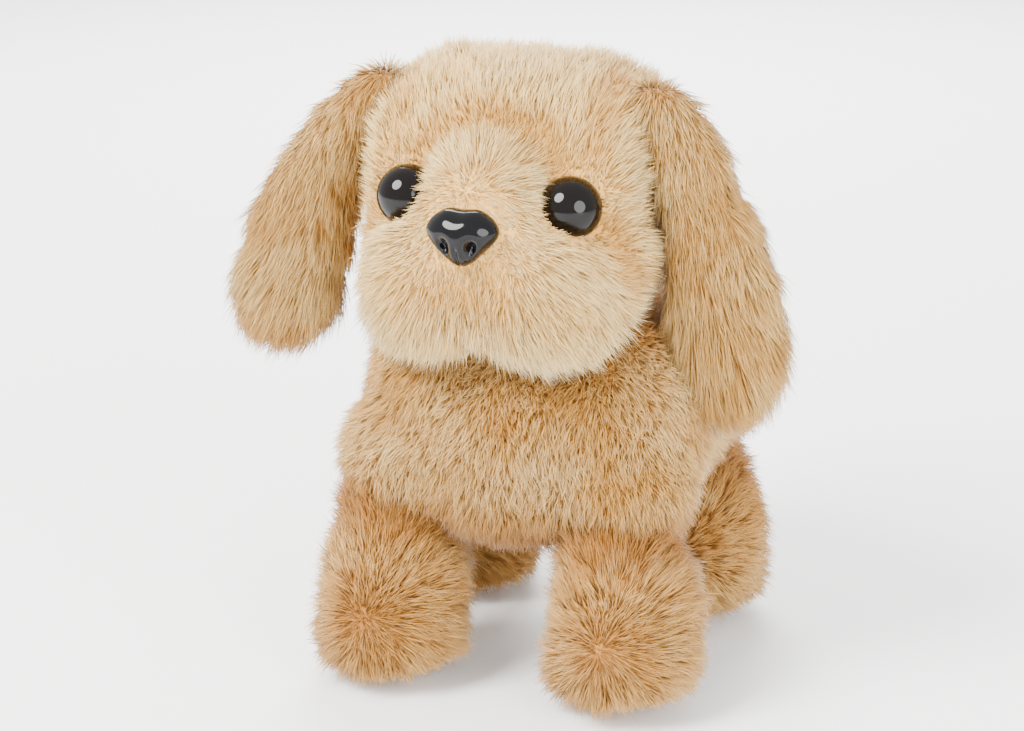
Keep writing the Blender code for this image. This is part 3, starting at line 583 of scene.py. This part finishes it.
head = {
    "balls": (
        (Vector((0.0, -0.0320, 0.1225)), (0.0325, 0.0290, 0.0290)),
        (Vector((0.0165, -0.0330, 0.1350)), (0.0175, 0.0215, 0.0165)),
        (Vector((-0.0165, -0.0330, 0.1350)), (0.0175, 0.0215, 0.0165)),
        (Vector((0.0, -0.0390, 0.1360)), (0.0200, 0.0200, 0.0160)),
        (Vector((0.0, -0.0400, 0.1070)), (0.0330, 0.0200, 0.0195)),
        (Vector((0.0200, -0.0465, 0.1265)), (0.0130, 0.0120, 0.0150)),
        (Vector((-0.0200, -0.0465, 0.1265)), (0.0130, 0.0120, 0.0150)),
        (Vector((0.0230, -0.0450, 0.1080)), (0.0120, 0.0150, 0.0150)),
        (Vector((-0.0230, -0.0450, 0.1080)), (0.0120, 0.0150, 0.0150)),
    ),
    "muzzle": (
        (Vector((0.0130, -0.0620, 0.1045)), (0.0145, 0.0150, 0.0160)),
        (Vector((-0.0130, -0.0620, 0.1045)), (0.0145, 0.0150, 0.0160)),
        (Vector((0.0, -0.0625, 0.1180)), (0.0150, 0.0135, 0.0150)),
        (Vector((0.0, -0.0590, 0.1265)), (0.0115, 0.0130, 0.0095)),
        (Vector((0.0, -0.0620, 0.1020)), (0.0100, 0.0125, 0.0090)),
        (Vector((0.0180, -0.0560, 0.0990)), (0.0110, 0.0130, 0.0115)),
        (Vector((-0.0180, -0.0560, 0.0990)), (0.0110, 0.0130, 0.0115)),
    ),
    "noseRoot": Vector((0.0, -0.0740, 0.1185)),
    "fur": {**furBase, "seed": 3, "swirlScale": 70.0, "swirl": 0.55, "jitter": 0.30,
            "lift": 0.75, "comb": 0.30, "droop": 0.18,
            "locks": ((420.0, 0.55), (150.0, 0.22))},
}


def muzzleDistance(point):
    # how far a point of the head lies outside the lumps of the muzzle
    nearest = 1.0
    for centre, radii in head["muzzle"]:
        offset = point - centre
        share = Vector((offset.x / radii[0], offset.y / radii[1], offset.z / radii[2])).length
        nearest = min(nearest, (share - 1.0) * min(radii))
    return nearest


def muzzleShare(point):
    # 1 on the pale muzzle, 0 on the crown
    return 1.0 - smoothstep(0.0010, 0.0045, muzzleDistance(point))


def headLay(point, up):
    fromNose = point - head["noseRoot"]
    outward = Vector((fromNose.x, fromNose.y * 0.6, fromNose.z - 0.010)).normalized()
    crown = Vector((point.x * 9.0, 0.35, 0.55 - 1.2 * smoothstep(0.02, 0.045, abs(point.x))))
    side = Vector((0.0, 0.15, -0.8))
    share = muzzleShare(point)
    backward = smoothstep(-0.035, -0.005, point.y)
    rest = crown.normalized().lerp(side, backward)
    return outward.lerp(rest, 1.0 - share) * 0.85


def headLength(point, up):
    share = muzzleShare(point)
    length = 0.0058 * (1.0 - share) + 0.0066 * share
    length *= 1.0 - 0.35 * headSeam(point)
    length += 0.0032 * (1.0 - smoothstep(0.090, 0.104, point.z)) * share
    nearNose = (point - head["noseRoot"]).length
    length *= 0.30 + 0.70 * smoothstep(0.007, 0.020, nearNose)
    for side in sides.values():
        nearEye = (point - Vector((side * 0.0195, -0.060, 0.1225))).length
        length *= 0.30 + 0.70 * smoothstep(0.0065, 0.0125, nearEye)
    return length


def headSeam(point):
    # two darts run up the forehead from beside the eyes, and a tuck runs around the muzzle
    if point.y > -0.030:
        return 0.0
    dart = abs(abs(point.x) - 0.0215 - (point.z - 0.122) * 0.10)
    crease = (1.0 - smoothstep(0.0015, 0.0045, dart)) * smoothstep(0.126, 0.134, point.z)
    edge = muzzleDistance(point)
    tuck = smoothstep(0.0005, 0.0022, edge) * (1.0 - smoothstep(0.0050, 0.0090, edge))
    tuck *= smoothstep(0.100, 0.110, point.z)
    return min(1.0, max(0.7 * crease, tuck))


def headShade(point):
    # painted shade along the darts and the tuck, and a patch of painted shade under the nose where the
    # mouth would be
    underNoseShade = 0.0
    if point.y < -0.064:
        underNoseShade = math.exp(-((point.x - 0.003) / 0.0120) ** 2 - ((point.z - 0.1050) / 0.0055) ** 2)
    return max(headSeam(point), 0.80 * underNoseShade)


# ---- ears

ear = {
    "fur": {**furBase, "seed": 5, "swirlScale": 60.0, "swirl": 0.50, "jitter": 0.27,
            "lift": 0.62, "comb": 0.35, "droop": 0.20,
            "locks": ((380.0, 0.60), (130.0, 0.25))},
}


def earBalls(side):
    # distance out, height, half width, half thickness and half height of each lump
    stack = ((0.0330, 0.1420, 0.0075, 0.0060, 0.0080), (0.0375, 0.1360, 0.0095, 0.0064, 0.0105),
             (0.0425, 0.1250, 0.0110, 0.0066, 0.0140), (0.0465, 0.1130, 0.0130, 0.0066, 0.0150),
             (0.0495, 0.1000, 0.0150, 0.0068, 0.0160), (0.0510, 0.0870, 0.0150, 0.0068, 0.0145),
             (0.0515, 0.0790, 0.0120, 0.0064, 0.0095))
    balls = []
    for out, height, halfWidth, halfDepth, halfTall in stack:
        drop = 0.142 - height
        if side < 0.0:
            out += drop * 0.15
            height += drop * 0.13
        balls.append((Vector((side * out, -0.0380, height)), (halfWidth, halfDepth, halfTall)))
    return balls


def earLay(point, up):
    side = 1.0 if point.x > 0.0 else -1.0
    spread = (abs(point.x) - 0.045) * 14.0
    return Vector((side * (0.25 + spread), 0.0, -1.0)).normalized() * 0.95


def earLength(point, up):
    return 0.0055 + 0.0030 * (1.0 - smoothstep(0.075, 0.140, point.z))


# ---- torso

torso = {
    "opening": (Vector((-0.0134, -0.0304, 0.0300)), Vector((0.0134, 0.0144, 0.0469))),
    "balls": (
        (Vector((0.0240, -0.0345, 0.0670)), (0.0235, 0.0255, 0.0265)),
        (Vector((-0.0145, -0.0350, 0.0690)), (0.0225, 0.0255, 0.0265)),
        (Vector((0.0260, -0.0060, 0.0620)), (0.0200, 0.0300, 0.0200)),
        (Vector((-0.0260, -0.0060, 0.0620)), (0.0200, 0.0300, 0.0200)),
        (Vector((0.0, -0.0420, 0.0640)), (0.0240, 0.0225, 0.0235)),
        (Vector((0.0, -0.0460, 0.0510)), (0.0280, 0.0160, 0.0130)),
        (Vector((0.0270, -0.0430, 0.0540)), (0.0195, 0.0175, 0.0155)),
        (Vector((-0.0240, -0.0430, 0.0540)), (0.0190, 0.0175, 0.0155)),
        (Vector((0.0, -0.0160, 0.0720)), (0.0410, 0.0400, 0.0270)),
        (Vector((0.0, -0.0120, 0.0560)), (0.0330, 0.0400, 0.0120)),
        (Vector((0.0190, 0.0080, 0.0710)), (0.0240, 0.0270, 0.0275)),
        (Vector((-0.0190, 0.0080, 0.0710)), (0.0240, 0.0270, 0.0275)),
        (Vector((0.0, 0.0110, 0.0740)), (0.0300, 0.0250, 0.0285)),
        (Vector((0.0200, -0.0440, 0.0600)), (0.0160, 0.0165, 0.0165)),
        (Vector((-0.0200, -0.0440, 0.0600)), (0.0160, 0.0165, 0.0165)),
        (Vector((0.0250, 0.0130, 0.0570)), (0.0190, 0.0185, 0.0160)),
        (Vector((-0.0250, 0.0130, 0.0570)), (0.0190, 0.0185, 0.0160)),
        (Vector((0.0, -0.0320, 0.0880)), (0.0270, 0.0220, 0.0120)),
    ),
    "fur": {**furBase, "seed": 8, "swirlScale": 85.0, "swirl": 0.75, "jitter": 0.32,
            "lift": 0.72, "comb": 0.28, "droop": 0.18,
            "locks": ((360.0, 0.55), (120.0, 0.16))},
}


def torsoLay(point, up):
    back = smoothstep(-0.045, -0.010, point.y)
    return Vector((point.x * 6.0, 0.75 * back, -0.75)).normalized() * 0.55


def torsoCover(point):
    # bare where the head sits on it and inside the belly opening
    low, high = torso["opening"]
    if all(low[axis] - 0.0004 < point[axis] < high[axis] + 0.0004 for axis in range(3)):
        return 0.0
    return 1.0 - smoothstep(0.090, 0.094, point.z) * (1.0 - smoothstep(-0.034, -0.026, point.y))


def torsoCreaseShade(point):
    # painted shade low on the belly where the legs meet it, and under the chin
    low = 1.0 - smoothstep(0.044, 0.056, point.z)
    chin = smoothstep(0.080, 0.092, point.z) * (1.0 - smoothstep(-0.03, -0.01, point.y))
    return max(low, chin)


def torsoLength(point, up):
    return 0.0058 + 0.0012 * smoothstep(-0.02, 0.02, point.y)


# ---- legs

leg = {
    "soleHeight": 0.0022, "soleSquash": 0.12,
    "lean": {"front": 0.0015, "rear": 0.0018}, "toeLine": 0.0048,
    "fur": {**furBase, "seed": 12, "swirlScale": 75.0, "swirl": 0.95, "jitter": 0.30,
            "lift": 0.72, "comb": 0.30, "droop": 0.16,
            "locks": ((370.0, 0.60), (130.0, 0.25))},
}


def legBalls(hip, side, outward):
    x = hip.x
    y = hip.y
    return (
        (Vector((x, y - 0.0030, 0.0086)), (0.0166, 0.0192, 0.0084)),
        (Vector((x + outward, y - 0.0035, 0.0120)), (0.0174, 0.0188, 0.0118)),
        (Vector((x + outward, y - 0.0010, 0.0250)), (0.0166, 0.0166, 0.0180)),
        (Vector((x - side * 0.0015, y, 0.0390)), (0.0128, 0.0132, 0.0150)),
    )


def flattenSole(skin):
    # the sole is flat where it stands
    for vertex in skin.data.vertices:
        if vertex.co.z < leg["soleHeight"]:
            vertex.co.z = leg["soleHeight"] + (vertex.co.z - leg["soleHeight"]) * leg["soleSquash"]


def legSeam(hip):
    # short stitched toe lines on the front of the paw
    def seamAt(point):
        if point.y > hip.y - 0.008 or point.z > 0.013:
            return 0.0
        line = min(abs(point.x - hip.x - shift) for shift in (-leg["toeLine"], leg["toeLine"]))
        return 1.0 - smoothstep(0.0008, 0.0030, line)
    return seamAt


def makeLegFur(strands, word, end, tone):
    hip = jointPoint("leg_%s_%s_swing" % (end, word))
    side = sides[word]
    # front paws both lean the same way, rear paws lean outwards
    outward = leg["lean"]["front"] if end == "front" else side * leg["lean"]["rear"]
    skin = softShape("fur_leg_%s_%s" % (end, word), legBalls(hip, side, outward), legSeam(hip))
    flattenSole(skin)
    parting = Vector((hip.x, hip.y - 0.018, 0.019))

    def layAt(point, up):
        away = point - parting
        spread = Vector((away.x, away.y * 0.4, away.z)).normalized()
        down = Vector((0.0, 0.1, -0.8))
        front = 1.0 - smoothstep(hip.y - 0.012, hip.y + 0.006, point.y)
        return down.lerp(spread, front) * 0.75

    # painted shade at the top of the leg where it meets the chest, and in the parting on the paw
    def creaseShadeAt(point):
        joint = smoothstep(0.031, 0.040, point.z)
        swirl = 1.0 - smoothstep(0.002, 0.011, (point - parting).length)
        return min(1.0, max(joint, 0.55 * swirl))

    def lengthAt(point, up):
        sole = smoothstep(-0.9, -0.3, up.z)
        return (0.0015 + 0.0048 * sole) * (0.55 + 0.45 * smoothstep(0.0, 0.006, point.z))

    growFur(skin, strands, layAt, lengthAt, creaseShadeAt, leg["fur"], tone,
            lambda point: 1.0 - smoothstep(0.050, 0.053, point.z))
    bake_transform(skin)
    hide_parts("leg_plush_%s_%s" % (end, word))


# ---- tail and belly flap

tail = {
    "fur": {**furBase, "seed": 15, "swirlScale": 70.0, "swirl": 0.40, "jitter": 0.27,
            "lift": 0.60, "comb": 0.20, "droop": 0.16,
            "locks": ((380.0, 0.60), (130.0, 0.25))},
}


def tailBalls():
    route = ((0.0260, 0.0780, 0.0085), (0.0320, 0.0820, 0.0082), (0.0400, 0.0880, 0.0078),
             (0.0480, 0.0940, 0.0074), (0.0560, 0.1010, 0.0072), (0.0630, 0.1080, 0.0068),
             (0.0690, 0.1160, 0.0060), (0.0730, 0.1230, 0.0048))
    return [(Vector((0.0, y, z)), (radius, radius, radius)) for y, z, radius in route]


def tailLay(point, up):
    return Vector((0.0, 0.70, 0.70)) * 0.9


flap = {
    "fur": {**furBase, "seed": 21, "swirlScale": 85.0, "swirl": 0.75,
            "jitter": 0.32, "lift": 0.72, "comb": 0.28, "droop": 0.0,
            "locks": ((360.0, 0.55), (120.0, 0.16))},
}


def makeFlap(strands, tone):
    # the furry cover of the battery opening, a thin padded panel
    low, high = (Vector(corner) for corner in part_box("belly_flap"))
    middle = (low + high) / 2
    size = high - low
    bm = bmesh.new()
    bmesh.ops.create_cube(bm, size=1.0,
                          matrix=Matrix.Translation(middle) @ Matrix.Diagonal((*size, 1.0)))
    bmesh.ops.bevel(bm, geom=bm.edges[:], offset=size.z * 0.35, segments=3, affect="EDGES",
                    profile=0.5, material=-1)
    bmesh.ops.subdivide_edges(bm, edges=bm.edges[:], cuts=3, use_grid_fill=True)
    panel = toObject("fur_flap", bm)
    growFur(panel, strands, lambda point, up: Vector((point.x * 6.0, 0.3, 0.0)),
            lambda point, up: 0.0050, noSeam, flap["fur"], tone,
            lambda point: 1.0 - smoothstep(low.z + 0.0006, low.z + 0.0012, point.z))
    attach(panel, "belly_flap")
    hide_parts("belly_flap")


# ---- eyes and nose

eye = {"radius": 0.0073, "place": Vector((0.0195, -0.0585, 0.1225)),
       "axis": Vector((0.40, -0.91, 0.08))}


def makeEye(word, material):
    side = sides[word]
    centre = Vector((side * eye["place"].x, eye["place"].y, eye["place"].z))
    axis = Vector((side * eye["axis"].x, eye["axis"].y, eye["axis"].z)).normalized()
    turn = axis.to_track_quat("Z", "Y").to_matrix().to_4x4()
    bm = bmesh.new()
    bmesh.ops.create_uvsphere(bm, u_segments=64, v_segments=40, radius=eye["radius"],
                              matrix=Matrix.Translation(centre) @ turn)
    piece = toObject("bead_eye_" + word, bm)
    piece.data.materials.append(material)
    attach(piece, "head")
    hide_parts("eye_" + word)


nose = {"centre": Vector((0.0, -0.0755, 0.1185)), "radii": (0.0087, 0.0058, 0.0068)}


def makeNose(material):
    bm = bmesh.new()
    place = Matrix.Translation(nose["centre"]) @ Matrix.Diagonal((*nose["radii"], 1.0))
    bmesh.ops.create_icosphere(bm, subdivisions=6, radius=1.0, matrix=place)
    for vertex in bm.verts:
        offset = vertex.co - nose["centre"]
        across = offset.x / nose["radii"][0]
        tall = offset.z / nose["radii"][2]
        vertex.co.x -= offset.x * 0.46 * smoothstep(0.35, -1.0, tall)
        vertex.co.z -= 0.0008 * (1.0 - smoothstep(0.0, 0.5, abs(across))) * smoothstep(0.2, 1.0, tall)
        front = smoothstep(0.0, -0.004, offset.y)
        for side in (-1.0, 1.0):
            dx = (across - side * 0.44) / 0.17
            dz = (tall + 0.12 + 0.3 * abs(across)) / 0.26
            vertex.co.y += 0.0024 * math.exp(-(dx * dx + dz * dz)) * front
        groove = math.exp(-(across / 0.07) ** 2) * smoothstep(-0.05, -0.5, tall)
        vertex.co.y += 0.0007 * groove * front
    piece = toObject("moulded_nose", bm)
    piece.data.materials.append(material)
    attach(piece, "head")
    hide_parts("nose")


def glossMaterial(name, color, roughness):
    made, shader, wire = newMaterial(name, Coat_Weight=0.30, Coat_Roughness=0.02,
                                     Specular_IOR_Level=0.10)
    dust = noiseField(wire, 900.0, 4.0)
    feed(shader, wire.mixed(dust, (*color, 1.0), (color[0] * 1.8, color[1] * 1.6, color[2] * 1.6, 1.0)),
         "Base Color", wire.tree)
    feed(shader, dust * 0.06 + roughness, "Roughness", wire.tree)
    return made


# ---- finishes of the chassis

chassisFinishes = {    # base colour, roughness, metallic, grain scale, grain depth
    "housing_plastic": ((0.80, 0.80, 0.76), 0.42, 0.0, 2600.0, 0.10),
    "frame_plastic": ((0.25, 0.40, 0.58), 0.36, 0.0, 2400.0, 0.08),
    "gear_plastic": ((0.90, 0.88, 0.80), 0.32, 0.0, 2200.0, 0.05),
    "black_plastic": ((0.02, 0.02, 0.022), 0.45, 0.0, 2600.0, 0.10),
    "switch_red": ((0.58, 0.04, 0.03), 0.38, 0.0, 2400.0, 0.08),
    "steel": ((0.62, 0.61, 0.59), 0.27, 1.0, 1800.0, 0.06),
    "cell_sleeve": ((0.10, 0.11, 0.12), 0.32, 0.0, 1500.0, 0.04),
    "board_green": ((0.03, 0.20, 0.09), 0.40, 0.0, 2000.0, 0.05),
}


def chassisMaterial(slotName):
    color, roughness, metallic, grain, depth = chassisFinishes[slotName]
    made, shader, wire = newMaterial("chassis_" + slotName, Metallic=metallic)
    cloud = noiseField(wire, 140.0, 4.0)
    speck = noiseField(wire, grain, 2.0)
    darker = (color[0] * 0.82, color[1] * 0.82, color[2] * 0.82, 1.0)
    feed(shader, wire.mixed(cloud, darker, (*color, 1.0)), "Base Color", wire.tree)
    feed(shader, speck * 0.12 + cloud * 0.08 + (roughness - 0.10), "Roughness", wire.tree)
    bump = wire.node("ShaderNodeBump", {}, {"Height": speck, "Strength": depth, "Distance": 0.0002})
    feed(shader, bump, "Normal", wire.tree)
    return made


def finishChassis():
    made = {name: chassisMaterial(name) for name in chassisFinishes}
    for part in frame["record"]["subparts"]:
        slotName = part["material_slot"]
        if slotName not in made:
            continue
        obj = bpy.data.objects[part["node"]]
        for holder in obj.material_slots:
            holder.material = made[slotName]
        if not obj.material_slots:
            obj.data.materials.append(made[slotName])
    print("chassis finished")


# ---- build

def makeHead(strands, material):
    skin = softShape("fur_head", head["balls"] + head["muzzle"], headSeam)
    growFur(skin, strands, headLay, headLength, headShade, head["fur"], material)
    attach(skin, "head")
    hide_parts("head_plush")


def makeEar(strands, word, material):
    skin = softShape("fur_ear_" + word, earBalls(sides[word]))
    growFur(skin, strands, earLay, earLength, noSeam, ear["fur"], material)
    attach(skin, "ear_" + word)
    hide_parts("ear_" + word)


def makeTorso(strands, material):
    skin = softShape("fur_torso", torso["balls"], noSeam, torso["opening"])
    growFur(skin, strands, torsoLay, torsoLength, torsoCreaseShade, torso["fur"], material, torsoCover)
    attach(skin, "body")
    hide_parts("torso_plush")


def makeTail(strands, material):
    skin = softShape("fur_tail", tailBalls())
    growFur(skin, strands, tailLay, lambda point, up: 0.0065, noSeam, tail["fur"], material)
    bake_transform(skin)
    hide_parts("tail_plush")


makeCamera()
makeStudio()
strandShapes = (makeStrand("longStrand", True), makeStrand("shortStrand", False))
creamFur = furMaterial("creamFur", "cream")
goldenFur = furMaterial("goldenFur", "golden")
tanFur = furMaterial("tanFur", "tan")
legFur = furMaterial("legFur", "leg")

makeHead(strandShapes, creamFur)
for word in sides:
    makeEar(strandShapes, word, tanFur)
makeTorso(strandShapes, goldenFur)
for word in sides:
    for end in ("front", "rear"):
        makeLegFur(strandShapes, word, end, legFur)
makeTail(strandShapes, goldenFur)
makeFlap(strandShapes, goldenFur)
print("plush ready")

eyeGloss = glossMaterial("eyeGloss", (0.0020, 0.0014, 0.0012), 0.03)
noseGloss = glossMaterial("noseGloss", (0.0020, 0.0021, 0.0026), 0.07)
for word in sides:
    makeEye(word, eyeGloss)
makeNose(noseGloss)
print("eyes and nose ready")
finishChassis()

for strandShape in strandShapes:
    bpy.data.objects.remove(strandShape)
